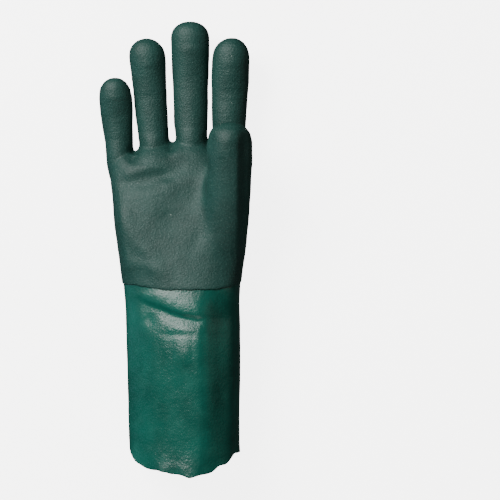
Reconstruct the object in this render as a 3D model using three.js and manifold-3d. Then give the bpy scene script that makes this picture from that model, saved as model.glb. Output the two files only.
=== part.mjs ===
// A right-hand work glove with a long gauntlet, lying on its back with the palm up, in millimetres.
// It is two hollow pieces. The smooth gauntlet is a tube with a wavy hem. The rough hand, with four
// fingers and a thumb, laps over the gauntlet's end at the wrist line as a second coat does.
// X runs from the little finger to the thumb, Y from the hem to the fingertips, and Z up from the
// surface that the glove lies on. The origin is on that surface, halfway along the glove.
import * as THREE from 'three';
import { mergeVertices } from 'three/addons/utils/BufferGeometryUtils.js';
import Module from 'manifold-3d';

const wasm = await Module();
wasm.setup();

// Lengths, from the wrist line, where the rough coat ends.
const HAND_LENGTH = 205;
const GAUNTLET_LENGTH = 145;

// Cross-sections of the smooth skin, without the rough coat.
const GAUNTLET_WIDTH = 87;
const GAUNTLET_HEIGHT = 62;
const PALM_WIDTH = 104;
const PALM_HEIGHT = 46;
const FINGER_WIDTH = 26;
const FINGER_FLATNESS = 0.93; // a finger's thickness over its width
const THUMB_WIDTH = 32.6;
const THUMB_FLATNESS = 0.88;

// Walls and the lap at the wrist.
const SMOOTH_WALL = 1.2; // knitted cloth with the smooth coat
const ROUGH_COAT = 0.8; // the second coat, over the hand
const LAP_GAP = 0.3;
const LAP_LENGTH = 18;
const COAT_STEP = ROUGH_COAT + LAP_GAP; // how far the hand's skin stands out over the gauntlet's

// Where the glove lies on its back it is pressed flat.
const FLATTENING = 1.4;
const STEP_RISE = 24; // length over which the gauntlet comes down from the rough coat to the surface
const WAIST = 0.46; // height of the widest line, as a share of a section's height
const BACK_EXPONENT = 2.35; // roundness of the half that lies down: 2 is an ellipse

// The hem is longest along the middle of the palm side and of the back.
const HEM_SIDE_RISE = 24;
const HEM_WAVES = 9;
const HEM_WAVE_HEIGHT = 0.9;
const HEM_WAVE_SWAY = 2.2; // how far the waves bunch up, in radians
const HEM_WAVE_START = 0.6;
const WRIST_SIDE_RISE = 4; // how far the rough coat's edge lies above the wrist line at the sides
const WRIST_SLANT = 10; // how far up the edge runs from the palm side to the back

const WRIST_Y = (GAUNTLET_LENGTH - HAND_LENGTH) / 2;

const SIDES_AROUND = 48;
const FINGER_SIDES = 18;
const THUMB_SIDES = 22;
const OVERRUN = 6; // how far a cutting solid runs past the edge that it cuts

// Sections of the gauntlet. down: share of its length below the wrist line. left, right: share of its
// width. height: share of its height. crest: place of the highest line across, as a share of the width.
// round: exponent of the upper half, where less than 2 is ridged and more is boxy.
const gauntletSections = [
  { down: 1.06, left: -0.462, right: 0.51, height: 0.96, crest: 0.22, round: 1.86 },
  { down: 0.8, left: -0.468, right: 0.516, height: 0.97, crest: 0.23, round: 1.8 },
  { down: 0.6, left: -0.472, right: 0.52, height: 1.0, crest: 0.24, round: 1.76 },
  { down: 0.46, left: -0.478, right: 0.524, height: 1.0, crest: 0.24, round: 1.76 },
  { down: 0.3, left: -0.486, right: 0.524, height: 0.985, crest: 0.24, round: 1.8 },
  { down: 0.16, left: -0.494, right: 0.522, height: 0.95, crest: 0.22, round: 1.86 },
  { down: 0.0, left: -0.51, right: 0.52, height: 0.885, crest: 0.17, round: 1.98 },
];

// Line of the hem above its lowest point. across: share of the gauntlet's width. rise: share of the rise
// at its sides.
const hemProfile = [
  { across: -0.5, rise: 1.0 },
  { across: -0.465, rise: 0.93 },
  { across: -0.42, rise: 0.66 },
  { across: -0.37, rise: 0.48 },
  { across: -0.3, rise: 0.33 },
  { across: -0.2, rise: 0.22 },
  { across: -0.05, rise: 0.12 },
  { across: 0.08, rise: 0.0 },
  { across: 0.22, rise: 0.13 },
  { across: 0.3, rise: 0.29 },
  { across: 0.42, rise: 0.56 },
  { across: 0.53, rise: 0.86 },
];

// Sections of the palm, up to where it closes between the fingers. up: share of the hand's length
// above the wrist line. left, right and crest: share of its width. low: lift of the underside, and
// height: the section's thickness, both as a share of the palm's height.
const palmSections = [
  { up: 0.075, left: -0.443, right: 0.449, low: 0, height: 1.13, crest: 0.12, round: 2.1 },
  { up: 0.146, left: -0.464, right: 0.474, low: 0, height: 1.06, crest: 0.06, round: 2.2 },
  { up: 0.244, left: -0.49, right: 0.49, low: 0, height: 0.99, crest: 0.02, round: 2.3 },
  { up: 0.341, left: -0.504, right: 0.486, low: 0, height: 0.92, crest: 0.0, round: 2.35 },
  { up: 0.42, left: -0.522, right: 0.486, low: 0, height: 0.83, crest: -0.02, round: 2.4 },
  { up: 0.475, left: -0.52, right: 0.47, low: 0.03, height: 0.7, crest: -0.02, round: 2.4 },
  { up: 0.51, left: -0.46, right: 0.462, low: 0.08, height: 0.56, crest: 0.0, round: 2.3 },
  { up: 0.535, left: -0.33, right: 0.44, low: 0.17, height: 0.38, crest: 0.04, round: 2.1 },
  { up: 0.549, left: -0.16, right: 0.38, low: 0.25, height: 0.22, crest: 0.1, round: 2.0 },
];
const PALM_TOP = { up: 0.558, x: 0.12, height: 0.36 };

// Dents in the palm side of the skin, each along a line from one end to the other. x: share of the
// palm's width. up: share of the hand's length from the wrist line, below it when negative. depth: share
// of the palm's height, raised when negative. spread: half-breadth, as a share of the palm's width.
const dents = [
  { x0: -0.42, up0: 0.395, x1: -0.1, up1: 0.425, depth: 0.045, spread: 0.045 }, // knuckle crease
  { x0: -0.1, up0: 0.425, x1: 0.06, up1: 0.475, depth: 0.04, spread: 0.05 }, // its upper end
  { x0: -0.4, up0: 0.46, x1: -0.22, up1: 0.47, depth: -0.03, spread: 0.05 }, // pad below the small fingers
  { x0: -0.06, up0: 0.27, x1: 0.06, up1: 0.36, depth: 0.05, spread: 0.13 }, // hollow of the palm
  { x0: 0.36, up0: 0.38, x1: 0.36, up1: 0.52, depth: 0.09, spread: 0.13 }, // room under the thumb
  { x0: -0.38, up0: 0.28, x1: -0.16, up1: 0.06, depth: -0.03, spread: 0.06 }, // heel of the hand
  { x0: -0.31, up0: -0.03, x1: -0.07, up1: -0.095, depth: 0.05, spread: 0.034 }, // wrist fold
  { x0: -0.07, up0: -0.095, x1: 0.12, up1: -0.115, depth: 0.065, spread: 0.036 }, // its lower end
  { x0: -0.08, up0: -0.166, x1: 0.12, up1: -0.17, depth: 0.02, spread: 0.03 }, // second fold
  { x0: -0.05, up0: -0.137, x1: 0.1, up1: -0.14, depth: -0.025, spread: 0.04 }, // swell between the folds
  { x0: 0.29, up0: -0.07, x1: 0.31, up1: -0.5, depth: 0.06, spread: 0.07 }, // flat beside the crest
];

// Fingers. root: place across the palm, as a share of its width. lean: how far the tip lies to the
// thumb's side of the root, as a share of that width. reach: the tip, as a share of the hand's length.
// size: share of the full finger width. cap: length of its round end, as a share of its own width.
// rootHeight, tipHeight: middle of the finger above the surface, as a share of the palm's height.
// shaft, pad: breadth halfway and below the round end, as a share of the finger's own width.
const fingers = [
  { root: -0.45, lean: -0.04, reach: 0.788, size: 0.86, cap: 0.6, shaft: 0.92, pad: 0.99,
    rootHeight: 0.34, tipHeight: 0.6 },
  { root: -0.183, lean: -0.073, reach: 0.936, size: 0.97, cap: 0.5, shaft: 0.885, pad: 0.93,
    rootHeight: 0.35, tipHeight: 0.56 },
  { root: 0.078, lean: -0.009, reach: 1.0, size: 1.0, cap: 0.4, shaft: 0.925, pad: 0.99,
    rootHeight: 0.35, tipHeight: 0.54 },
  { root: 0.344, lean: 0.033, reach: 0.938, size: 0.98, cap: 0.56, shaft: 0.95, pad: 1.03,
    rootHeight: 0.35, tipHeight: 0.57 },
];
const FINGER_START = 0.4; // where a finger begins inside the palm, as a share of the hand's length

// Width of a finger along its length, from its start to where its round end begins.
function fingerProfile(f) {
  return [
    { along: 0.0, width: 0.62 },
    { along: 0.1, width: 0.76 },
    { along: 0.2, width: 0.85 },
    { along: 0.42, width: f.shaft - 0.04 },
    { along: 0.64, width: f.shaft },
    { along: 0.83, width: f.pad },
    { along: 1.0, width: 1.0 },
  ];
}

// Sections of the thumb, which lies over the palm with its tip free. up: share of the hand's length.
// x: share of the palm's width. middle: height of its middle, as a share of the palm's height.
// width: share of the thumb's width.
const thumbSections = [
  { up: 0.02, x: 0.24, middle: 0.54, width: 0.9 },
  { up: 0.1, x: 0.262, middle: 0.64, width: 1.1 },
  { up: 0.18, x: 0.302, middle: 0.77, width: 1.15 },
  { up: 0.26, x: 0.336, middle: 0.91, width: 1.06 },
  { up: 0.335, x: 0.351, middle: 1.03, width: 0.99 },
  { up: 0.41, x: 0.357, middle: 1.125, width: 0.985 },
  { up: 0.485, x: 0.362, middle: 1.2, width: 1.0 },
  { up: 0.55, x: 0.363, middle: 1.245, width: 0.98 },
];
const THUMB_TIP = { up: 0.6145, x: 0.362, middle: 1.27 };

// Shares of a quarter turn at which a round end gets its rings.
const capTurns = [0.28, 0.52, 0.72, 0.88];

// A smooth curve through one column of a table whose rows are in order of at.
function column(rows, key) {
  const slope = (i) => {
    const before = rows[Math.max(i - 1, 0)];
    const after = rows[Math.min(i + 1, rows.length - 1)];
    return (after[key] - before[key]) / (after.at - before.at);
  };
  return (at) => {
    const last = rows.length - 2;
    let i = rows.findIndex((row, k) => k <= last && at <= rows[k + 1].at);
    if (i < 0) i = last;
    const low = rows[i];
    const high = rows[i + 1];
    const span = high.at - low.at;
    const t = THREE.MathUtils.clamp((at - low.at) / span, 0, 1);
    const bend = t * t * (3 - 2 * t);
    const leave = t * (1 - t) * (1 - t) * slope(i) * span;
    const arrive = t * t * (1 - t) * slope(i + 1) * span;
    return low[key] + (high[key] - low[key]) * bend + leave - arrive;
  };
}

function columns(rows, keys) {
  return Object.fromEntries(keys.map((key) => [key, column(rows, key)]));
}

// The smooth skin of the gauntlet and the palm, as one run of sections along Y.
const skinRows = [
  ...gauntletSections.map((s) => ({
    at: WRIST_Y - s.down * GAUNTLET_LENGTH,
    left: s.left * GAUNTLET_WIDTH,
    right: s.right * GAUNTLET_WIDTH,
    low: 0,
    height: s.height * GAUNTLET_HEIGHT,
    crest: s.crest * GAUNTLET_WIDTH,
    round: s.round,
  })),
  ...palmSections.map((s) => ({
    at: WRIST_Y + s.up * HAND_LENGTH,
    left: s.left * PALM_WIDTH,
    right: s.right * PALM_WIDTH,
    low: s.low * PALM_HEIGHT,
    height: s.height * PALM_HEIGHT,
    crest: s.crest * PALM_WIDTH,
    round: s.round,
  })),
];
const skin = columns(skinRows, ['left', 'right', 'low', 'height', 'crest', 'round']);

// The underside of the smooth skin. From the wrist line on, the rough coat lies under it, and the palm's
// underside lifts towards the fingers.
function underside(y) {
  const edge = WRIST_Y - LAP_GAP;
  const coat = COAT_STEP * THREE.MathUtils.smoothstep(y, edge - STEP_RISE, edge);
  return coat + Math.max(skin.low(y), 0);
}

function dentAt(x, y) {
  let deepest = 0;
  let highest = 0;
  for (const d of dents) {
    const a = new THREE.Vector2(d.x0 * PALM_WIDTH, WRIST_Y + d.up0 * HAND_LENGTH);
    const b = new THREE.Vector2(d.x1 * PALM_WIDTH, WRIST_Y + d.up1 * HAND_LENGTH);
    const along = b.clone().sub(a);
    const toPoint = new THREE.Vector2(x, y).sub(a);
    const share = THREE.MathUtils.clamp(toPoint.dot(along) / along.lengthSq(), 0, 1);
    const away = toPoint.addScaledVector(along, -share).length() / (d.spread * PALM_WIDTH);
    const dent = d.depth * PALM_HEIGHT * Math.exp(-away * away);
    deepest = Math.max(deepest, dent);
    highest = Math.min(highest, dent);
  }
  return deepest + highest;
}

// A point of the skin at a turn round the section, moved out by offset. Turn 0 is the thumb's side, a
// quarter turn the palm side.
function skinPoint(y, turn, offset) {
  const cos = Math.cos(turn);
  const sin = Math.sin(turn);
  const upper = sin > 0;
  const power = 2 / (upper ? skin.round(y) : BACK_EXPONENT);
  const across = Math.sign(cos) * Math.abs(cos) ** power;
  const rise = Math.sign(sin) * Math.abs(sin) ** power;
  const middle = (skin.left(y) + skin.right(y)) / 2;
  const halfWidth = (skin.right(y) - skin.left(y)) / 2 + offset;
  const tall = skin.height(y) + FLATTENING;
  const low = underside(y);
  const waist = low - FLATTENING + WAIST * tall;
  const reach = (upper ? 1 - WAIST : WAIST) * tall + offset;
  const shift = upper ? (skin.crest(y) - middle) * rise * rise : 0;
  const x = middle + shift + halfWidth * across;
  const dent = upper ? dentAt(x, y) * rise : 0;
  return new THREE.Vector3(x, y, Math.max(waist + reach * rise - dent, low - offset));
}

// A closed body from rings of points that run along +Y, closed by a point at each end.
function loft(rings, startPoint, endPoint) {
  const count = rings[0].length;
  const points = [...rings.flat(), startPoint, endPoint];
  const start = points.length - 2;
  const end = points.length - 1;
  const index = [];
  for (let k = 0; k < count; k++) {
    const next = (k + 1) % count;
    for (let r = 0; r + 1 < rings.length; r++) {
      const a = r * count;
      const b = a + count;
      index.push(a + k, b + k, b + next, a + k, b + next, a + next);
    }
    const top = (rings.length - 1) * count;
    index.push(start, k, next, end, top + next, top + k);
  }
  return geometryOf(points, index);
}

// A tube with a wall: the outer rings run along +Y, and the inner ones beside them.
function tubeWall(outer, inner) {
  const count = outer[0].length;
  const loop = [...outer, ...inner.toReversed()];
  const index = [];
  for (let r = 0; r < loop.length; r++) {
    const a = r * count;
    const b = ((r + 1) % loop.length) * count;
    for (let k = 0; k < count; k++) {
      const next = (k + 1) % count;
      index.push(a + k, b + k, b + next, a + k, b + next, a + next);
    }
  }
  return geometryOf(loop.flat(), index);
}

function geometryOf(points, index) {
  const geometry = new THREE.BufferGeometry().setFromPoints(points);
  geometry.setIndex(index);
  return geometry;
}

function solidOf(geometry) {
  const merged = mergeVertices(geometry);
  const vertProperties = merged.attributes.position.array;
  const triVerts = new Uint32Array(merged.index.array);
  return new wasm.Manifold(new wasm.Mesh({ numProp: 3, vertProperties, triVerts }));
}

function geometryFromSolid(solid) {
  const mesh = solid.getMesh();
  const geometry = new THREE.BufferGeometry();
  geometry.setAttribute('position', new THREE.BufferAttribute(mesh.vertProperties, 3));
  geometry.setIndex(new THREE.BufferAttribute(mesh.triVerts, 1));
  geometry.computeVertexNormals();
  return geometry;
}

const hemRise = column(hemProfile.map(({ across, rise }) => ({ at: across, rise })), 'rise');

const turnsOf = (count) => Array.from({ length: count }, (_, k) => (k / count) * 2 * Math.PI);
const skinTurns = turnsOf(SIDES_AROUND);

// One ring of the skin. along gives Y for each turn, or is Y itself.
function skinRing(along, offset) {
  return skinTurns.map((turn) => {
    const y = typeof along === 'function' ? along(turn) : along;
    return skinPoint(y, turn, offset);
  });
}

// The edge of the rough coat, round the wrist.
function wristLine(turn) {
  return WRIST_Y + WRIST_SIDE_RISE - (WRIST_SLANT / 2) * Math.sin(turn);
}

function hemLine(turn) {
  const bottom = WRIST_Y - GAUNTLET_LENGTH;
  const across = skinPoint(bottom, turn, 0).x / GAUNTLET_WIDTH;
  const sway = HEM_WAVE_SWAY * Math.sin(2 * turn + HEM_WAVE_START);
  const wave = HEM_WAVE_HEIGHT * Math.sin(turn * HEM_WAVES + sway);
  return bottom + HEM_WAVE_HEIGHT + HEM_SIDE_RISE * hemRise(across) + wave;
}

function makeGauntlet() {
  const lap = [0, 0.5, 1].map((share) => WRIST_Y + share * LAP_LENGTH);
  const straightFrom = 0.83; // share of the length where the rings stop following the hem
  const shares = [0.66, 0.54, 0.44, 0.36, 0.29, 0.24, 0.2, 0.165, 0.13, 0.095, 0.06, 0.03];
  const first = WRIST_Y - straightFrom * GAUNTLET_LENGTH;
  const rings = [hemLine, first, ...shares.map((s) => WRIST_Y - s * GAUNTLET_LENGTH), ...lap];
  const outer = rings.map((along) => skinRing(along, 0));
  const inner = rings.map((along) => skinRing(along, -SMOOTH_WALL));
  return tubeWall(outer, inner);
}

// The palm as a closed body, from a first edge up to where it closes between the fingers.
function palmBody(edge, offset, from) {
  const shares = [0.075, 0.12, 0.17, 0.22, 0.27, 0.32, 0.36, 0.395, 0.425, 0.455, 0.485, 0.51, 0.535, 0.549];
  const ups = shares.filter((up) => up > from);
  const rings = [edge, ...ups.map((up) => WRIST_Y + up * HAND_LENGTH)].map((y) => skinRing(y, offset));
  const top = new THREE.Vector3(
    PALM_TOP.x * PALM_WIDTH,
    WRIST_Y + PALM_TOP.up * HAND_LENGTH + offset,
    COAT_STEP + PALM_TOP.height * PALM_HEIGHT
  );
  return solidOf(loft(rings, middleOf(rings[0]), top));
}

function middleOf(ring) {
  return ring.reduce((sum, p) => sum.add(p), new THREE.Vector3()).divideScalar(ring.length);
}

// A finger or thumb: elliptical sections along Y with a round end. Each row gives at, x, z and width.
function fingerBody(rows, tip, flatness, offset, sides) {
  const line = columns([...rows, { ...tip, width: rows.at(-1).width }], ['x', 'z']);
  const ring = (y, halfWidth) =>
    turnsOf(sides).map((turn) => {
      const flat = (halfWidth - offset) * flatness + offset;
      return new THREE.Vector3(
        line.x(y) + halfWidth * Math.cos(turn),
        y,
        line.z(y) + flat * Math.sin(turn)
      );
    });
  const rings = rows.map((row) => ring(row.at, row.width / 2 + offset));
  const base = rows.at(-1);
  const cap = tip.at - base.at + offset;
  for (const share of capTurns) {
    const turn = (share * Math.PI) / 2;
    rings.push(ring(base.at + cap * Math.sin(turn), (base.width / 2 + offset) * Math.cos(turn)));
  }
  const point = new THREE.Vector3(line.x(tip.at), tip.at + offset, line.z(tip.at));
  return solidOf(loft(rings, middleOf(rings[0]), point));
}

function fingerSolid(f, offset) {
  const width = f.size * FINGER_WIDTH;
  const start = WRIST_Y + FINGER_START * HAND_LENGTH;
  const tipY = WRIST_Y + f.reach * HAND_LENGTH;
  const capStart = tipY - f.cap * width;
  const place = (at) => {
    const share = (at - start) / (tipY - start);
    const height = THREE.MathUtils.lerp(f.rootHeight, f.tipHeight, share * share);
    return { at, x: (f.root + f.lean * share) * PALM_WIDTH, z: height * PALM_HEIGHT };
  };
  const rows = fingerProfile(f).map((p) => ({
    ...place(THREE.MathUtils.lerp(start, capStart, p.along)),
    width: p.width * width,
  }));
  return fingerBody(rows, place(tipY), FINGER_FLATNESS, offset, FINGER_SIDES);
}

function thumbSolid(offset) {
  const place = (s) => ({
    at: WRIST_Y + s.up * HAND_LENGTH,
    x: s.x * PALM_WIDTH,
    z: s.middle * PALM_HEIGHT,
  });
  const rows = thumbSections.map((s) => ({ ...place(s), width: s.width * THUMB_WIDTH }));
  return fingerBody(rows, place(THUMB_TIP), THUMB_FLATNESS, offset, THUMB_SIDES);
}

// Palm, fingers and thumb joined, with the skin moved out by offset and the palm open below edge.
function handBody(edge, offset) {
  let body = palmBody(edge, offset, 0);
  for (const f of fingers) body = body.add(fingerSolid(f, offset));
  return body.add(thumbSolid(offset));
}

function makeHand() {
  const below = WRIST_Y - OVERRUN;
  const body = handBody(wristLine, COAT_STEP);
  const cavity = handBody(below, -SMOOTH_WALL);
  const lapRings = [below, WRIST_Y, WRIST_Y + LAP_LENGTH / 2, WRIST_Y + LAP_LENGTH + LAP_GAP];
  const rings = lapRings.map((y) => skinRing(y, LAP_GAP));
  const lap = solidOf(loft(rings, middleOf(rings[0]), middleOf(rings.at(-1))));
  return geometryFromSolid(body.subtract(cavity).subtract(lap));
}

function piece(name, geometry, material) {
  const mesh = new THREE.Mesh(geometry, material);
  mesh.name = name;
  return mesh;
}

const smoothCoat = new THREE.MeshStandardMaterial({ color: 0x0b5b48, roughness: 0.32, metalness: 0 });
const roughCoat = new THREE.MeshStandardMaterial({ color: 0x33594f, roughness: 0.78, metalness: 0 });

const glove = new THREE.Group();
glove.add(piece('smooth_gauntlet', makeGauntlet(), smoothCoat));
glove.add(piece('rough_hand', makeHand(), roughCoat));

export default glove;
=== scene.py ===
import math

import bmesh
import bpy
import numpy as np
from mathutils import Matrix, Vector, noise
from mathutils.bvhtree import BVHTree


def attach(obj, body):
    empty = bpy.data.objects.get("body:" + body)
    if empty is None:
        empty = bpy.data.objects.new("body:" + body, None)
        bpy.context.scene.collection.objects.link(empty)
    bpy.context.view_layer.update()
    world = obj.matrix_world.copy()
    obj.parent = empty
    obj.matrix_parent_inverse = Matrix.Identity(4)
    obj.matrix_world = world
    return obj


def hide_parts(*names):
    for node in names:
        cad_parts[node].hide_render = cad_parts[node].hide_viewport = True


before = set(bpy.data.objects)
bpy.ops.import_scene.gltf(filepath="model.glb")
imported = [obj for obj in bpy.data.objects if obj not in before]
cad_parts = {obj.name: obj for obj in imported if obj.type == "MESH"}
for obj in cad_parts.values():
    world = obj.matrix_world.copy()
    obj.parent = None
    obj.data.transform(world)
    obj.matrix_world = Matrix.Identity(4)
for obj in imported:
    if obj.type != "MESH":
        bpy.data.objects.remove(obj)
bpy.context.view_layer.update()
mm = 0.001

# Places are in millimetres in the frame: x towards the thumb, y towards the fingertips, z up.

photoView = {
    "frameWidth": 384.6,  # what the picture spans at the glove, mm
    "middle": (53.0, -0.4, 32.0),  # what the camera looks at
    "distance": 2000.0,
    "sensor": 36.0,
}

studio = {
    "wall": (0.93, 0.96, 1.0),
    "wallStrength": 0.06,
    "floor": (0.86, 0.86, 0.85),
    "floorGlow": 5.0,
    "floorHalf": 3.0,  # metres
    "floorRoughness": 0.9,
    "lampsAim": (0, 0, 0.03),
    # name, place in metres, size in metres, watts, colour
    "lamps": [
        ("keySoftbox", (-0.73, 0.74, 1.03), (0.78, 0.78), 37.0, (1.0, 0.98, 0.955)),
        ("coolRim", (-0.9, -0.05, 0.05), (0.08, 0.9), 0.5, (0.5, 0.75, 1.0)),
        ("lowFill", (0.9, 0.2, 0.4), (0.5, 0.9), 0.8, (1.0, 0.92, 0.82)),
        ("hemFill", (0.02, -0.75, 0.5), (0.5, 0.4), 1.8, (1.0, 0.98, 0.95)),
    ],
}


# Mesh helpers

def shadeSmooth(mesh):
    for face in mesh.polygons:
        face.use_smooth = True


def pieceFromMesh(name, mesh, materials):
    piece = bpy.data.objects.new(name, mesh)
    bpy.context.scene.collection.objects.link(piece)
    for material in materials:
        mesh.materials.append(material)
    shadeSmooth(mesh)
    return piece


def applyModifiers(piece):
    graph = bpy.context.evaluated_depsgraph_get()
    baked = bpy.data.meshes.new_from_object(piece.evaluated_get(graph))
    piece.modifiers.clear()
    piece.data = baked
    shadeSmooth(baked)


def readPoints(mesh):
    flat = np.empty(len(mesh.vertices) * 3)
    mesh.vertices.foreach_get("co", flat)
    return flat.reshape(-1, 3) / mm


def writePoints(mesh, points):
    mesh.vertices.foreach_set("co", (points * mm).ravel())
    mesh.update()


def readNormals(mesh):
    flat = np.empty(len(mesh.vertices) * 3)
    mesh.vertex_normals.foreach_get("vector", flat)
    return flat.reshape(-1, 3)


def relax(points, edges, rounds, pull, weight=1.0, backPull=0.0):
    # Moves each point towards its neighbours' middle; backPull keeps the volume.
    first, second = edges[:, 0], edges[:, 1]
    count = len(points)
    links = np.bincount(first, minlength=count) + np.bincount(second, minlength=count)
    links = np.maximum(links, 1)[:, None]
    weight = np.broadcast_to(weight, count)[:, None]
    for _ in range(rounds):
        for step in ((pull, -backPull) if backPull else (pull,)):
            total = np.empty_like(points)
            for axis in range(3):
                column = points[:, axis]
                total[:, axis] = (np.bincount(first, column[second], count)
                                  + np.bincount(second, column[first], count))
            points = points + step * weight * (total / links - points)
    return points


def bell(away, reach):
    return np.exp(-(away / reach) ** 2)


strokeEnd = 0.03  # share of a stroke's half wave that is left out at each end
strokeTaper = 0.6  # the smaller, the sooner a stroke is at its full depth


def strokeOffset(spots, stroke):
    # How far a stroke pushes each (x, y) spot in: deepest on its path, fading over its width.
    path = np.array(stroke["path"], float)
    nearest = np.full(len(spots), np.inf)
    along = np.zeros(len(spots))
    lengths = np.linalg.norm(np.diff(path, axis=0), axis=1)
    travelled = 0.0
    for start, end, length in zip(path[:-1], path[1:], lengths):
        run = (end - start) / length
        t = np.clip((spots - start) @ run, 0, length)
        away = np.linalg.norm(spots - start - t[:, None] * run, axis=1)
        closer = away < nearest
        nearest[closer] = away[closer]
        along[closer] = (travelled + t[closer]) / lengths.sum()
        travelled += length
    wave = np.sin(np.pi * np.clip(along * (1 - 2 * strokeEnd) + strokeEnd, 0, 1))
    fade = wave ** stroke.get("taper", strokeTaper)
    return stroke["depth"] * fade * bell(nearest, stroke["width"])


def softStep(values, start, end):
    # 0 before the start, 1 past the end, and smooth between; the start may be the larger one.
    t = np.clip((values - start) / (end - start), 0, 1)
    return t * t * (3 - 2 * t)


noiseStep = (7.3, 3.1, 5.7)  # how far apart the noise of two seeds lies


def softNoise(points, size, seed):
    shift = Vector([seed * step for step in noiseStep])
    return np.array([noise.noise(Vector(p) / size + shift) for p in points])


def unevenness(points, shape):
    # The coat's slow ripple and its small dimples.
    ripple = shape["ripple"] * softNoise(points, shape["rippleSize"], shape["rippleSeed"])
    return ripple + shape["dimple"] * softNoise(points, shape["dimpleSize"], shape["dimpleSeed"])


def palmShare(normals, shape):
    # 1 on the palm side, fading to 0 where the surface turns down.
    steepness, threshold = shape["palmSlope"]
    return np.clip(normals[:, 2] * steepness - threshold, 0, 1)


def addWall(piece, thickness):
    # Grows the wall inwards from the skin; its inner side takes the second material.
    solid = piece.modifiers.new("wall", "SOLIDIFY")
    solid.thickness = thickness * mm
    solid.offset = -1
    solid.material_offset = 1
    return solid


# Shader node groups

def newGroup(name, inputs, outputs):
    group = bpy.data.node_groups.new(name, "ShaderNodeTree")
    for label, kind, value in inputs:
        socket = group.interface.new_socket(label, in_out="INPUT", socket_type=kind)
        socket.default_value = value
    for label, kind in outputs:
        group.interface.new_socket(label, in_out="OUTPUT", socket_type=kind)
    return group, group.nodes.new("NodeGroupInput"), group.nodes.new("NodeGroupOutput")


def addNode(tree, kind, **settings):
    node = tree.nodes.new(kind)
    for key, value in settings.items():
        if key in node.bl_rna.properties.keys():
            setattr(node, key, value)
        else:
            node.inputs[key].default_value = value
    return node


def mathNode(tree, operation, first, second):
    node = tree.nodes.new("ShaderNodeMath")
    node.operation = operation
    for socket, value in zip(node.inputs, (first, second)):
        if isinstance(value, (int, float)):
            socket.default_value = value
        else:
            tree.links.new(value, socket)
    return node.outputs[0]


def rangeNode(tree, value, low, high, outLow, outHigh):
    node = tree.nodes.new("ShaderNodeMapRange")
    for index, number in enumerate((low, high, outLow, outHigh), start=1):
        node.inputs[index].default_value = number
    tree.links.new(value, node.inputs[0])
    return node.outputs[0]


grainPattern = {
    "fineDetail": 3.0, "fineRoughness": 0.65,
    "pebbleScale": 0.55,  # of the grain's own scale
    "pebbleEdge": 0.7,
    "pebbleShare": 0.45, "fineShare": 0.75,
    "paleRange": (0.55, 0.73),
    "cloudDetail": 5.0, "cloudRoughness": 0.55,
    "cloudRange": (0.32, 0.68),
}


def makeGrainGroup(pattern):
    # Fine sandy grit, pale grains and a slow cloud, all in object space.
    group, given, result = newGroup(
        "coatGrain",
        [("Grain Scale", "NodeSocketFloat", 1.0), ("Cloud Scale", "NodeSocketFloat", 1.0)],
        [("Height", "NodeSocketFloat"), ("Pale Grains", "NodeSocketFloat"), ("Cloud", "NodeSocketFloat")],
    )
    link = group.links.new
    place = group.nodes.new("ShaderNodeTexCoord").outputs["Object"]
    fine = addNode(group, "ShaderNodeTexNoise", Detail=pattern["fineDetail"],
                   Roughness=pattern["fineRoughness"])
    link(place, fine.inputs["Vector"])
    link(given.outputs["Grain Scale"], fine.inputs["Scale"])
    cells = addNode(group, "ShaderNodeTexVoronoi")
    link(place, cells.inputs["Vector"])
    pebbleScale = mathNode(group, "MULTIPLY", given.outputs["Grain Scale"], pattern["pebbleScale"])
    link(pebbleScale, cells.inputs["Scale"])
    pebble = rangeNode(group, cells.outputs["Distance"], 0.0, pattern["pebbleEdge"], 1.0, 0.0)
    height = mathNode(group, "ADD", mathNode(group, "MULTIPLY", pebble, pattern["pebbleShare"]),
                      mathNode(group, "MULTIPLY", fine.outputs["Fac"], pattern["fineShare"]))
    link(height, result.inputs["Height"])
    pale = rangeNode(group, fine.outputs["Fac"], *pattern["paleRange"], 0.0, 1.0)
    link(pale, result.inputs["Pale Grains"])
    cloud = addNode(group, "ShaderNodeTexNoise", Detail=pattern["cloudDetail"],
                    Roughness=pattern["cloudRoughness"])
    link(place, cloud.inputs["Vector"])
    link(given.outputs["Cloud Scale"], cloud.inputs["Scale"])
    link(rangeNode(group, cloud.outputs["Fac"], *pattern["cloudRange"], 0.0, 1.0), result.inputs["Cloud"])
    return group


def makeSpeckGroup():
    # Sparse round specks, each in its own cell.
    group, given, result = newGroup(
        "sparseSpecks",
        [("Scale", "NodeSocketFloat", 1.0), ("Size", "NodeSocketFloat", 1.0),
         ("Share", "NodeSocketFloat", 1.0)],
        [("Mask", "NodeSocketFloat")],
    )
    link = group.links.new
    place = group.nodes.new("ShaderNodeTexCoord").outputs["Object"]
    cells = group.nodes.new("ShaderNodeTexVoronoi")
    link(place, cells.inputs["Vector"])
    link(given.outputs["Scale"], cells.inputs["Scale"])
    split = group.nodes.new("ShaderNodeSeparateColor")
    link(cells.outputs["Color"], split.inputs["Color"])
    chosen = mathNode(group, "LESS_THAN", split.outputs["Red"], given.outputs["Share"])
    close = mathNode(group, "LESS_THAN", cells.outputs["Distance"], given.outputs["Size"])
    link(mathNode(group, "MULTIPLY", chosen, close), result.inputs["Mask"])
    return group


def placeGroup(tree, group, **values):
    node = tree.nodes.new("ShaderNodeGroup")
    node.node_tree = group
    for label, value in values.items():
        node.inputs[label].default_value = value
    return node


def placeGrain(tree, grainScale, cloudScale):
    return placeGroup(tree, grainGroup, **{"Grain Scale": grainScale, "Cloud Scale": cloudScale})


def placeSpecks(tree, look):
    return placeGroup(tree, speckGroup, Scale=look["speckScale"], Size=look["speckSize"],
                      Share=look["speckShare"])


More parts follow.
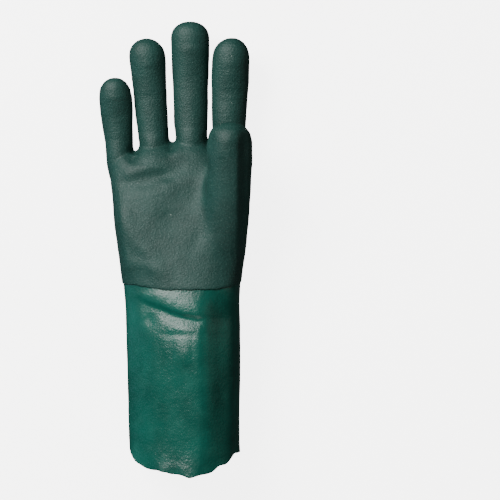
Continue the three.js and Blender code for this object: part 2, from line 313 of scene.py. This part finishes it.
def mixColours(tree, factor, first, second):
    # A Mix node keeps its colours in input sockets 6 and 7 and output socket 2.
    node = tree.nodes.new("ShaderNodeMix")
    node.data_type = "RGBA"
    tree.links.new(factor, node.inputs[0])
    for socket, colour in ((node.inputs[6], first), (node.inputs[7], second)):
        if isinstance(colour, tuple):
            socket.default_value = (*colour, 1.0)
        else:
            tree.links.new(colour, socket)
    return node.outputs[2]


def scaled(tree, value, share):
    return rangeNode(tree, value, 0, 1, 0, share)


def addBump(tree, shader, height, look):
    bump = addNode(tree, "ShaderNodeBump", Strength=look["bumpStrength"], Distance=look["bumpDepth"])
    tree.links.new(height, bump.inputs["Height"])
    tree.links.new(bump.outputs["Normal"], shader.inputs["Normal"])


def newMaterial(name):
    material = bpy.data.materials.new(name)
    material.use_nodes = True
    return material, material.node_tree, material.node_tree.nodes["Principled BSDF"]


grainGroup = makeGrainGroup(grainPattern)
speckGroup = makeSpeckGroup()
print("node groups made")

roughFinish = {
    "deep": (0.006, 0.040, 0.033),
    "light": (0.010, 0.054, 0.045),
    "grit": (0.09, 0.17, 0.15),
    "speck": (0.42, 0.50, 0.46),
    "roughLow": 0.44, "roughHigh": 0.62,
    "roughRange": (0.2, 0.9),  # grain heights from the roughest to the smoothest
    "shine": 0.37,
    "grainScale": 1080.0, "cloudScale": 55.0,
    "gritShare": 0.5,
    "speckScale": 130.0, "speckSize": 0.075, "speckShare": 0.06,
    "speckStrength": 0.35,
    "bumpDepth": 0.46 * mm, "bumpStrength": 0.8,
}


def makeRoughCoat(look):
    material, tree, shader = newMaterial("roughCoat")
    link = tree.links.new
    grain = placeGrain(tree, look["grainScale"], look["cloudScale"])
    specks = placeSpecks(tree, look)
    ground = mixColours(tree, grain.outputs["Cloud"], look["deep"], look["light"])
    grit = scaled(tree, grain.outputs["Pale Grains"], look["gritShare"])
    gritty = mixColours(tree, grit, ground, look["grit"])
    shader.inputs["Specular IOR Level"].default_value = look["shine"]
    speck = scaled(tree, specks.outputs["Mask"], look["speckStrength"])
    link(mixColours(tree, speck, gritty, look["speck"]), shader.inputs["Base Color"])
    link(rangeNode(tree, grain.outputs["Height"], *look["roughRange"], look["roughHigh"], look["roughLow"]),
         shader.inputs["Roughness"])
    addBump(tree, shader, grain.outputs["Height"], look)
    return material


smoothFinish = {
    "deep": (0.0006, 0.058, 0.043),
    "light": (0.0015, 0.092, 0.068),
    "scuff": (0.010, 0.115, 0.086),
    "speck": (0.30, 0.42, 0.38),
    "roughLow": 0.31, "roughHigh": 0.39,
    "shine": 0.42,
    "grainScale": 900.0, "cloudScale": 32.0,
    "blotchGrainScale": 380.0, "blotchCloudScale": 95.0,
    "scuffRange": (0.55, 1), "scuffShare": 0.35,
    "speckScale": 75.0, "speckSize": 0.05, "speckShare": 0.05,
    "speckStrength": 0.7,
    "grainHeight": 0.6, "blotchHeight": 0.28,
    "bumpDepth": 0.42 * mm, "bumpStrength": 0.8,
}


def makeSmoothCoat(look):
    material, tree, shader = newMaterial("smoothCoat")
    link = tree.links.new
    grain = placeGrain(tree, look["grainScale"], look["cloudScale"])
    blotch = placeGrain(tree, look["blotchGrainScale"], look["blotchCloudScale"])
    specks = placeSpecks(tree, look)
    ground = mixColours(tree, grain.outputs["Cloud"], look["deep"], look["light"])
    scuff = rangeNode(tree, blotch.outputs["Cloud"], *look["scuffRange"], 0, look["scuffShare"])
    scuffed = mixColours(tree, scuff, ground, look["scuff"])
    speck = scaled(tree, specks.outputs["Mask"], look["speckStrength"])
    link(mixColours(tree, speck, scuffed, look["speck"]), shader.inputs["Base Color"])
    link(rangeNode(tree, blotch.outputs["Cloud"], 0.0, 1.0, look["roughLow"], look["roughHigh"]),
         shader.inputs["Roughness"])
    shader.inputs["Specular IOR Level"].default_value = look["shine"]
    height = mathNode(tree, "ADD", mathNode(tree, "MULTIPLY", grain.outputs["Height"], look["grainHeight"]),
                      mathNode(tree, "MULTIPLY", blotch.outputs["Height"], look["blotchHeight"]))
    addBump(tree, shader, height, look)
    return material


liningFinish = {
    "deep": (0.50, 0.48, 0.42),
    "light": (0.74, 0.72, 0.65),
    "roughness": 0.92,
    "grainScale": 900.0, "cloudScale": 60.0,
    "courses": 260.0,  # scale of the wave that draws the knit's rows
    "wales": 208.0,  # and of the one that draws its columns
    "distortion": 1.2,
    "bumpDepth": 0.5 * mm, "bumpStrength": 0.7,
}


def makeLining(look):
    material, tree, shader = newMaterial("cottonLining")
    link = tree.links.new
    shader.inputs["Roughness"].default_value = look["roughness"]
    grain = placeGrain(tree, look["grainScale"], look["cloudScale"])
    place = tree.nodes.new("ShaderNodeTexCoord").outputs["Object"]
    waves = []
    for direction, scale in (("Y", look["courses"]), ("X", look["wales"])):
        wave = addNode(tree, "ShaderNodeTexWave", bands_direction=direction, Scale=scale,
                       Distortion=look["distortion"])
        link(place, wave.inputs["Vector"])
        waves.append(wave.outputs["Fac"])
    knit = mathNode(tree, "MULTIPLY", *waves)
    fuzz = mathNode(tree, "MULTIPLY", knit, grain.outputs["Height"])
    link(mixColours(tree, fuzz, look["deep"], look["light"]), shader.inputs["Base Color"])
    addBump(tree, shader, knit, look)
    return material


roughCoat = makeRoughCoat(roughFinish)
smoothCoat = makeSmoothCoat(smoothFinish)
lining = makeLining(liningFinish)
print("materials made")

# The rough coated hand

hand = {
    "node": "rough_hand",
    "voxel": 1.35,  # size of the remeshed skin's cells
    "wall": 2.25,  # thickness of the lined and coated cloth
    "lapWall": 0.72,  # the thin lap over the sleeve
    "edgeSide": -26.0,  # the coat's edge at the sides of the wrist
    "edgeSlant": 5.0,  # lower by this on the palm side, higher on the back
    "edgeWander": 0.35,
    "edgeWaves": [(1.0, 5, 0.7), (0.6, 11, 2.0), (0.4, 23, 0.0)],  # height, count, start
    "lapTop": -11.6,  # y of the lap's upper end
    "edgeBlend": 6.0,  # the edge's line sets in over this length below the lap's upper end
    "lapThins": 2.5,  # and over this length above it the wall grows to its full thickness
    "weld": 0.002,  # nearer points of the frame's form count as one
    "rimAngle": 50,  # degrees; sharper edges at the wrist bound the outer skin
    "lipRows": [0.4, 1.0, 1.9],  # extra rows above the edge, where the skin turns in
    "lipTurn": 0.5, "lipReach": 1.0,  # by how much at the edge, and over what length it fades
    "stub": 12.0,  # spare length below the edge, cut off again
    "ease": -0.7,  # the skin is drawn in by this while it is remeshed
    # and stands out here: x, y, z, reach, amount
    "easeSpots": [
        (18, 20, 38, 16.0, 4.0),
        (22, 42, 41, 15.0, 5.0),
        (25, 62, 43, 14.0, 5.5),
        (32, 88, 44, 13.0, 5.0),
    ],
    "smoothRounds": 34, "smoothPull": 0.6, "smoothBack": 0.615,
    # places where the moulded form runs softly from one part to the next: x, y, z, reach, rounds
    "fillets": [
        (-36.0, 76.0, 17.0, 8.0, 6),
        (-6.5, 83.0, 17.0, 9.0, 16),
        (22.0, 85.0, 17.0, 9.0, 16),
        (16.0, 8.0, 46.0, 19.0, 120),
        (20.0, 30.0, 44.0, 13.0, 50),
        (24.0, 52.0, 40.0, 9.0, 30),
        (48.0, 5.0, 34.0, 17.0, 60),
        (50.0, 34.0, 36.0, 12.0, 50),
        (9.0, 62.0, 37.0, 12.0, 60),
    ],
    "filletPull": 0.6, "filletStrength": 1.25,
    # the gap between two fingers, drawn on towards the wrist: x, y, reach, length
    "gaps": [(-36.2, 78.5, 4.2, 3.6), (-6.5, 85.0, 3.5, 0.6), (22.0, 88.0, 3.0, 0.6)],
    # depth is into the palm, and negative is a swelling
    "strokes": [
        {"path": [(-35.8, 79), (-37, 73), (-40, 67)], "depth": 2.2, "width": 4.2},
        {"path": [(-6.4, 86), (-7.2, 80), (-9, 75)], "depth": 2.6, "width": 3.6},
        {"path": [(22.2, 89), (21.6, 83), (20.6, 76)], "depth": 2.2, "width": 3.6},
        {"path": [(-48, 62), (-50, 84)], "depth": -1.5, "width": 8.0},
        {"path": [(-21, 66), (-21.5, 90)], "depth": -2.0, "width": 9.0},
        {"path": [(7.5, 70), (7.5, 94)], "depth": -2.2, "width": 9.5},
        {"path": [(35.5, 68), (36.5, 92)], "depth": -1.8, "width": 9.0},
        {"path": [(-40, 50), (-28, 52), (-16, 55), (-4, 60), (5, 65)], "depth": 1.7, "width": 6.2},
        {"path": [(-45, 57), (-34, 60), (-22, 62)], "depth": -1.0, "width": 4.6},
        {"path": [(-9, 70), (1, 77)], "depth": -0.5, "width": 4.4},
        {"path": [(-46, 40), (-44, 22), (-33, 3), (-18, -8)], "depth": -1.5, "width": 5.6},
        {"path": [(-38, -8), (-25, -13), (-12, -18)], "depth": -1.3, "width": 5.2},
        {"path": [(-14, 30), (-10, 10), (0, -6)], "depth": 1.2, "width": 13.0},
        {"path": [(19, 60), (21, 36), (14, 10), (6, -4)], "depth": 0.9, "width": 5.0},
        {"path": [(26, 12), (24, -8)], "depth": -0.8, "width": 9.0},
    ],
    # straight up, which leaves the outline as it is: the heel of the hand on the little finger's side
    "lifts": [{"path": [(-51, 34), (-48, 4), (-43, -18)], "depth": -6.0, "width": 11.5, "taper": 0.35}],
    "liftFrom": (-26.5, -13.0),  # y where the lift sets in, so that the edge stays on the sleeve
    "flank": (42.5, 49.5, 5.2),  # beside the thumb the skin falls across this stretch by the last number
    "flankFrom": (-20.0, -4.0), "flankTo": (97.0, 76.0),  # y where the fall sets in and where it ends
    "flankHeights": (18.0, 45.0),  # it grows with the height of the skin
    # the pads of the ring, middle, index and little finger, each with the dip below it
    "pads": [
        {"path": [(-25.5, 139), (-26, 146)], "depth": -1.3, "width": 8.0, "taper": 0.2},
        {"path": [(-23.5, 114), (-24, 121)], "depth": 0.9, "width": 8.5, "taper": 0.2},
        {"path": [(7, 150), (7, 157)], "depth": -1.2, "width": 8.5, "taper": 0.2},
        {"path": [(7, 127), (7, 135)], "depth": 0.9, "width": 8.5, "taper": 0.2},
        {"path": [(39, 139), (39, 147)], "depth": -1.2, "width": 8.5, "taper": 0.2},
        {"path": [(38, 117), (38, 124)], "depth": 0.9, "width": 8.5, "taper": 0.2},
        {"path": [(-50.5, 114), (-50.5, 119)], "depth": -0.9, "width": 8.0, "taper": 0.2},
        {"path": [(-46, 100), (-47, 106)], "depth": 0.9, "width": 6.5, "taper": 0.2},
    ],
    "fingersFrom": (80.0, 100.0),  # y where the fingers begin to be wider
    "widerLeft": 1.2, "widerRight": 0.15,  # towards the little finger's side and the thumb's
    # x, y, reach and how much wider on each side
    "wideTips": [(7.3, 160.0, 13.0, 0.9), (-25.8, 150.0, 12.0, 0.3), (39.0, 150.0, 12.0, 0.3)],
    "palmSlope": (1.6, 0.2),  # strokes act where the upward normal, times the first, passes the second
    "ripple": 0.22, "rippleSize": 15.0, "rippleSeed": 1,
    "dimple": 0.07, "dimpleSize": 3.4, "dimpleSeed": 2,
    "pressedBelow": 3.0, "pressedShare": 0.3,  # flatter where it lies on the surface
}


def outerSkin(shape):
    # The outer skin of a hollow node: what is reached from a fingertip without crossing the wrist's rim.
    bm = bmesh.new()
    bm.from_mesh(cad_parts[shape["node"]].data)
    bmesh.ops.remove_doubles(bm, verts=bm.verts, dist=shape["weld"] * mm)
    rim = set()
    for edge in bm.edges:
        low = all(vert.co.y < shape["lapTop"] * mm for vert in edge.verts)
        if low and edge.is_manifold and edge.calc_face_angle() > math.radians(shape["rimAngle"]):
            rim.add(edge)
    tip = max(bm.verts, key=lambda vert: vert.co.y)
    reached = {tip.link_faces[0]}
    todo = list(reached)
    while todo:
        for edge in todo.pop().edges:
            if edge in rim:
                continue
            for face in edge.link_faces:
                if face not in reached:
                    reached.add(face)
                    todo.append(face)
    bmesh.ops.delete(bm, geom=[face for face in bm.faces if face not in reached], context="FACES")
    return bm


def closeBelow(bm, length):
    # Draws the open wrist down by a length and closes it.
    border = [edge for edge in bm.edges if edge.is_boundary]
    drawn = bmesh.ops.extrude_edge_only(bm, edges=border)["geom"]
    verts = [part for part in drawn if isinstance(part, bmesh.types.BMVert)]
    bmesh.ops.translate(bm, verts=verts, vec=(0, -length * mm, 0))
    bmesh.ops.holes_fill(bm, edges=[edge for edge in bm.edges if edge.is_boundary], sides=0)
    bmesh.ops.triangulate(bm, faces=bm.faces)
    bmesh.ops.recalc_face_normals(bm, faces=bm.faces)


def meshEdges(mesh):
    flat = np.empty(len(mesh.edges) * 2, int)
    mesh.edges.foreach_get("vertices", flat)
    return flat.reshape(-1, 2)


def coatEdgeAt(points, shape):
    # Where the rough coat ends, as y, for points round the wrist.
    middle = (points[:, 2].max() + points[:, 2].min()) / 2
    turn = np.arctan2(points[:, 2] - middle, points[:, 0])
    wander = sum(height * np.sin(turn * count + start) for height, count, start in shape["edgeWaves"])
    return shape["edgeSide"] - shape["edgeSlant"] * np.sin(turn) + shape["edgeWander"] * wander


def easeAt(points, shape):
    # How far the skin stands out while it is remeshed; taken back afterwards, so that near parts
    # stay apart at the fingers and run together beside the thumb.
    ease = np.zeros(len(points))
    for x, y, z, reach, amount in shape["easeSpots"]:
        away = np.linalg.norm(points - (x, y, z), axis=1)
        ease = np.maximum(ease, (amount - shape["ease"]) * bell(away, reach))
    return ease + shape["ease"]


def remeshSkin(shape):
    bm = outerSkin(shape)
    closeBelow(bm, shape["stub"])
    mesh = bpy.data.meshes.new("roughHand")
    bm.to_mesh(mesh)
    bm.free()
    skin = readPoints(mesh)
    writePoints(mesh, skin + readNormals(mesh) * easeAt(skin, shape)[:, None])
    piece = pieceFromMesh("roughHand", mesh, [])
    remesh = piece.modifiers.new("skin", "REMESH")
    remesh.mode = "VOXEL"
    remesh.voxel_size = shape["voxel"] * mm
    applyModifiers(piece)
    print("hand skin remeshed:", len(piece.data.vertices), "points")
    return piece


def softenSkin(points, edges, shape):
    # Evens out the remeshed skin, then runs its parts softly together.
    points = relax(points, edges, shape["smoothRounds"], shape["smoothPull"], backPull=shape["smoothBack"])
    for x, y, z, reach, rounds in shape["fillets"]:
        away = np.linalg.norm(points - (x, y, z), axis=1)
        weight = np.clip(shape["filletStrength"] * bell(away, reach), 0, 1)
        points = relax(points, edges, rounds, shape["filletPull"], weight)
    for x, y, reach, length in shape["gaps"]:
        away = np.linalg.norm(points[:, :2] - (x, y), axis=1)
        points[:, 1] -= length * bell(away, reach)
    return points


def formSkin(points, normals, shape):
    # Creases, pads, the heel's lift, the flank's fall, the fingers' width and the coat's ripple.
    palmSide = palmShare(normals, shape)
    push = np.zeros(len(points))
    for stroke in shape["strokes"] + shape["pads"]:
        push -= strokeOffset(points[:, :2], stroke) * palmSide
    liftShare = palmSide * softStep(points[:, 1], *shape["liftFrom"])
    for lift in shape["lifts"]:
        points[:, 2] -= strokeOffset(points[:, :2], lift) * liftShare
    start, end, drop = shape["flank"]
    fall = softStep(points[:, 0], start, end) * softStep(points[:, 1], *shape["flankFrom"])
    fall = fall * softStep(points[:, 1], *shape["flankTo"]) * softStep(points[:, 2], *shape["flankHeights"])
    points[:, 2] -= drop * fall
    wider = np.where(normals[:, 0] < 0, shape["widerLeft"], shape["widerRight"])
    wider = wider * softStep(points[:, 1], *shape["fingersFrom"])
    for x, y, reach, amount in shape["wideTips"]:
        wider += amount * bell(np.linalg.norm(points[:, :2] - (x, y), axis=1), reach)
    points[:, 0] += normals[:, 0] * wider
    push += unevenness(points, shape)
    push *= np.where(points[:, 2] < shape["pressedBelow"], shape["pressedShare"], 1.0)
    points = points + normals * push[:, None]
    points[:, 2] = np.maximum(points[:, 2], 0.0)
    return points


def cutAcross(bm, y, clearBelow=False):
    everything = bm.verts[:] + bm.edges[:] + bm.faces[:]
    bmesh.ops.bisect_plane(bm, geom=everything, plane_co=(0, y * mm, 0), plane_no=(0, 1, 0),
                           clear_inner=clearBelow)


def cutWrist(mesh, points, shape):
    # Cuts along the coat's edge: levels the edge, cuts, and puts it back.
    nearWrist = points[:, 1] < shape["lapTop"]
    shift = np.zeros(len(points))
    shift[nearWrist] = coatEdgeAt(points[nearWrist], shape)
    shift[~nearWrist] = shape["edgeSide"]
    blend = np.clip((shape["lapTop"] - points[:, 1]) / shape["edgeBlend"], 0, 1)
    shift = shape["edgeSide"] + (shift - shape["edgeSide"]) * blend
    levelled = points.copy()
    levelled[:, 1] -= shift
    writePoints(mesh, levelled)
    bm = bmesh.new()
    bm.from_mesh(mesh)
    layer = bm.verts.layers.float.new("shift")
    for vert, amount in zip(bm.verts, shift):
        vert[layer] = amount
    cutAcross(bm, 0, clearBelow=True)
    for row in shape["lipRows"]:
        cutAcross(bm, row)
    bm.normal_update()
    for vert in bm.verts:
        inward = shape["lipTurn"] * math.exp(-vert.co.y / mm / shape["lipReach"])
        vert.co -= Vector((vert.normal.x, 0, vert.normal.z)) * inward * mm
        vert.co.y += vert[layer] * mm
    bm.to_mesh(mesh)
    bm.free()
    mesh.update()


def makeHand(shape):
    piece = remeshSkin(shape)
    mesh = piece.data
    points = readPoints(mesh)
    points = points - readNormals(mesh) * easeAt(points, shape)[:, None]
    points = softenSkin(points, meshEdges(mesh), shape)
    writePoints(mesh, points)
    points = formSkin(points, readNormals(mesh), shape)
    cutWrist(mesh, points, shape)

    walls = piece.vertex_groups.new(name="wall")
    for vert in mesh.vertices:
        depth = np.clip((vert.co.y / mm - shape["lapTop"]) / shape["lapThins"], 0, 1)
        share = (shape["lapWall"] + (shape["wall"] - shape["lapWall"]) * depth) / shape["wall"]
        walls.add([vert.index], float(share), "REPLACE")
    addWall(piece, shape["wall"]).vertex_group = "wall"
    piece.data.materials.append(roughCoat)
    piece.data.materials.append(lining)
    applyModifiers(piece)
    print("hand made:", len(piece.data.polygons), "faces")
    return piece


roughHand = makeHand(hand)
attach(roughHand, "root")
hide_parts("rough_hand")

# The smooth coated sleeve

sleeve = {
    "node": "smooth_gauntlet",
    "around": 264,  # points in a ring
    "along": 132,  # rings from the hem to the sleeve's upper end, under the coat
    "wall": 1.15,
    "centre": (2.0, 27.0),  # x, z of the line that the rings are drawn round
    "sampled": (-149.0, -12.6),  # stretch along y where the frame's form is read
    "stations": 60,  # rings read on that stretch
    "reach": 100.0,  # the form is read from this far out
    # the hem's line, as x and y
    "hem": [(-44, -151.5), (-41, -152.8), (-38.3, -157), (-34.8, -161.6), (-27, -166.3), (-22.6, -167.9),
            (-13.8, -169), (-7.3, -170.4), (-0.8, -171.1), (3.6, -172.7), (6.8, -173.3), (11.2, -172.4),
            (14.5, -171.3), (21, -170.3), (25.4, -168.3), (28.7, -165.7), (35.3, -163.2), (38.6, -159.4),
            (41.3, -157), (44.2, -156.2)],
    "hemWaves": [(0.25, 9, 0.4), (0.2, 16, 1.9), (0.1, 27, 4.0)],  # height, count, start
    "hemFlutter": 0.8, "flutterFade": 7.0, "flutterCount": 9, "flutterStart": 1.3,
    "evenAround": 3, "evenAlong": 26,  # rounds of smoothing over the frame's flat facets
    # the wrist fold, as x and y, and the sleeve's rise at distances from it towards the hem
    "fold": [(-46, -31), (-36.5, -36.5), (-24, -42.5), (-14, -45.7), (-7, -48.8), (4, -52), (13, -53.3),
             (24, -53)],
    "foldRise": [(-27, -0.2), (-21, 0.1), (-4.8, 2.2), (-3.6, 2.1), (0.2, 0.05), (1.2, -0.1), (2.4, 0.1),
                 (11, 1.5), (13, 1.6), (24, 1.75), (38, 1.4), (62, 0.8), (90, 0.6), (108, 1.1), (125, 2.4)],
    # share of that rise at each x
    "foldAcross": [(-45, 0), (-38, 0.06), (-30, 0.32), (-20, 0.66), (-5, 0.92), (9, 1.12), (14, 1.02),
                   (18, 0.5), (23, 0.1), (29, 0)],
    # depth is into the sleeve from the palm side, and negative is a swelling
    "strokes": [
        {"path": [(-13, -64.6), (0, -65.2), (14, -64.6)], "depth": 0.5, "width": 2.6, "taper": 0.35},
        {"path": [(-26, -50), (-20, -58)], "depth": 0.9, "width": 5.0},
        {"path": [(-5, -80), (9, -80)], "depth": -1.0, "width": 11.0},
        {"path": [(-6, -100), (4, -112), (-2, -135)], "depth": 0.5, "width": 12.0},
        {"path": [(-14, -166), (6, -169)], "depth": -0.5, "width": 5.0},
    ],
    "shoulder": (14.0, 41.0, 7.0),  # across this stretch the palm side falls by the last number
    "shoulderStart": (-30.0, -55.0),  # where the fall sets in along y
    "shoulderHeight": 20.0,  # the fall is full this far above the sleeve's middle line
    "palmSlope": (1.8, 0.15),
    "ripple": 0.35, "rippleSize": 22.0, "rippleSeed": 3,
    "dimple": 0.10, "dimpleSize": 5.0, "dimpleSeed": 4,
    "restsBelow": 3.0, "restsBlend": 6.0,  # neither ripples nor flutters where it lies on the surface
    "coatClear": -29.5, "coatBlend": 5.0,  # creases and ripples set in below this y, clear of the coat
}


def alongTable(values, table):
    # Reads a table of (place, value) rows smoothly.
    places, amounts = np.array(table, float).T
    low = np.clip(np.searchsorted(places, values, side="right") - 1, 0, len(places) - 2)
    span = places[low + 1] - places[low]
    t = np.clip((values - places[low]) / span, 0, 1)
    slopes = np.gradient(amounts, places)
    return (amounts[low] * (1 + 2 * t) * (1 - t) ** 2 + slopes[low] * span * t * (1 - t) ** 2
            + amounts[low + 1] * t * t * (3 - 2 * t) + slopes[low + 1] * span * t * t * (t - 1))


def hemAt(turn, across, shape):
    # y of the hem at a turn round the sleeve, from how far across it lies.
    waves = sum(height * np.sin(count * turn + start) for height, count, start in shape["hemWaves"])
    return alongTable(across, shape["hem"]) + waves


def foldOffset(spots, shape):
    # Rise of the sleeve's palm side round the wrist fold.
    below = np.interp(spots[:, 0], *np.array(shape["fold"], float).T) - spots[:, 1]
    return alongTable(below, shape["foldRise"]) * alongTable(spots[:, 0], shape["foldAcross"])


def readRadius(stations, turns, shape):
    # How far the frame's form lies from the sleeve's middle line, evened out.
    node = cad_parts[shape["node"]]
    corners = [vert.co.copy() for vert in node.data.vertices]
    surface = BVHTree.FromPolygons(corners, [face.vertices[:] for face in node.data.polygons])
    centreX, centreZ = shape["centre"]
    reach = shape["reach"]
    radius = np.empty((len(stations), len(turns)))
    for row, y in enumerate(stations):
        for column, turn in enumerate(turns):
            way = Vector((math.cos(turn), 0, math.sin(turn)))
            middle = Vector((centreX, y, centreZ)) * mm
            _, _, _, away = surface.ray_cast(middle + way * reach * mm, -way)
            radius[row, column] = reach - away / mm
    for _ in range(shape["evenAround"]):
        radius = (np.roll(radius, 1, 1) + 2 * radius + np.roll(radius, -1, 1)) / 4
    for _ in range(shape["evenAlong"]):
        padded = np.vstack([2 * radius[:1] - radius[1:2], radius, 2 * radius[-1:] - radius[-2:-1]])
        radius = (padded[:-2] + 2 * padded[1:-1] + padded[2:]) / 4
    return radius


def formSleeve(points, normals, turns, hem, shape):
    # Strokes, the wrist fold, ripples, the fluttering hem and the fall towards the thumb's side.
    lifted = np.clip((points[:, 2] - shape["restsBelow"]) / shape["restsBlend"], 0, 1)
    palmSide = palmShare(normals, shape)
    clear = np.clip((shape["coatClear"] - points[:, 1]) / shape["coatBlend"], 0, 1)
    push = np.zeros(len(points))
    for stroke in shape["strokes"]:
        push -= strokeOffset(points[:, :2], stroke) * palmSide
    push += foldOffset(points[:, :2], shape) * palmSide
    push += unevenness(points, shape) * lifted
    flutter = np.exp(-(points[:, 1] - np.tile(hem, shape["along"])) / shape["flutterFade"])
    around = np.tile(turns, shape["along"])
    flutter = flutter * np.sin(shape["flutterCount"] * around + shape["flutterStart"])
    push += shape["hemFlutter"] * flutter * lifted
    points = points + normals * (push * clear)[:, None]
    start, end, drop = shape["shoulder"]
    across = softStep(points[:, 0], start, end)
    along = softStep(points[:, 1], *shape["shoulderStart"])
    height = np.clip((points[:, 2] - shape["centre"][1]) / shape["shoulderHeight"], 0, 1)
    points[:, 2] -= drop * across * along * height
    return points


def makeSleeve(shape):
    turns = np.linspace(0, 2 * np.pi, shape["around"], endpoint=False)
    stations = np.linspace(*shape["sampled"], shape["stations"])
    radius = readRadius(stations, turns, shape)
    centreX, centreZ = shape["centre"]
    hem = hemAt(turns, centreX + radius[0] * np.cos(turns), shape)
    shares = np.linspace(0, 1, shape["along"])[:, None]
    ys = hem + (shape["sampled"][1] - hem) * shares
    radii = np.empty_like(ys)
    for column in range(len(turns)):
        radii[:, column] = np.interp(ys[:, column], stations, radius[:, column])
    points = np.stack([centreX + radii * np.cos(turns), ys, centreZ + radii * np.sin(turns)], axis=-1)
    points = points.reshape(-1, 3)

    count = shape["around"]
    faces = []
    for row in range(shape["along"] - 1):
        low, high = row * count, (row + 1) * count
        for column in range(count):
            after = (column + 1) % count
            faces.append((low + column, high + column, high + after, low + after))
    mesh = bpy.data.meshes.new("smoothSleeve")
    mesh.from_pydata([tuple(p) for p in points * mm], [], faces)
    mesh.update()
    points = formSleeve(points, readNormals(mesh), turns, hem, shape)
    writePoints(mesh, points)

    piece = pieceFromMesh("smoothSleeve", mesh, [smoothCoat, lining])
    addWall(piece, shape["wall"])
    applyModifiers(piece)
    print("sleeve made:", len(piece.data.polygons), "faces")
    return piece


smoothSleeve = makeSleeve(sleeve)
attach(smoothSleeve, "root")
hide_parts("smooth_gauntlet")

# Floor, light and camera

floorMesh = bpy.data.meshes.new("studioFloor")
half = studio["floorHalf"]
floorCorners = [(-half, -half, 0), (half, -half, 0), (half, half, 0), (-half, half, 0)]
floorMesh.from_pydata(floorCorners, [], [(0, 1, 2, 3)])
floorMaterial, floorTree, floorShader = newMaterial("studioFloor")
floorShader.inputs["Base Color"].default_value = (*studio["floor"], 1)
floorShader.inputs["Roughness"].default_value = studio["floorRoughness"]
floorShader.inputs["Emission Color"].default_value = (1, 1, 1, 1)
floorShader.inputs["Emission Strength"].default_value = studio["floorGlow"]
floor = pieceFromMesh("studioFloor", floorMesh, [floorMaterial])
floor.visible_diffuse = False  # the pale sheet doesn't light the glove's dark sides
floor.visible_glossy = False

world = bpy.data.worlds.new("studioWall")
world.use_nodes = True
background = world.node_tree.nodes["Background"]
background.inputs["Color"].default_value = (*studio["wall"], 1)
background.inputs["Strength"].default_value = studio["wallStrength"]
bpy.context.scene.world = world

for name, place, size, watts, colour in studio["lamps"]:
    lamp = bpy.data.lights.new(name, "AREA")
    lamp.shape = "RECTANGLE"
    lamp.size, lamp.size_y = size
    lamp.energy = watts
    lamp.color = colour
    holder = bpy.data.objects.new(name, lamp)
    holder.location = place
    aim = Vector(studio["lampsAim"]) - Vector(place)
    holder.rotation_euler = aim.to_track_quat("-Z", "Y").to_euler()
    bpy.context.scene.collection.objects.link(holder)

cameraData = bpy.data.cameras.new("photoCamera")
cameraData.sensor_width = photoView["sensor"]
cameraData.lens = photoView["sensor"] * photoView["distance"] / photoView["frameWidth"]
camera = bpy.data.objects.new("photoCamera", cameraData)
middleX, middleY, middleZ = photoView["middle"]
camera.location = (middleX * mm, middleY * mm, (middleZ + photoView["distance"]) * mm)
bpy.context.scene.collection.objects.link(camera)
bpy.context.scene.camera = camera
print("stage set")
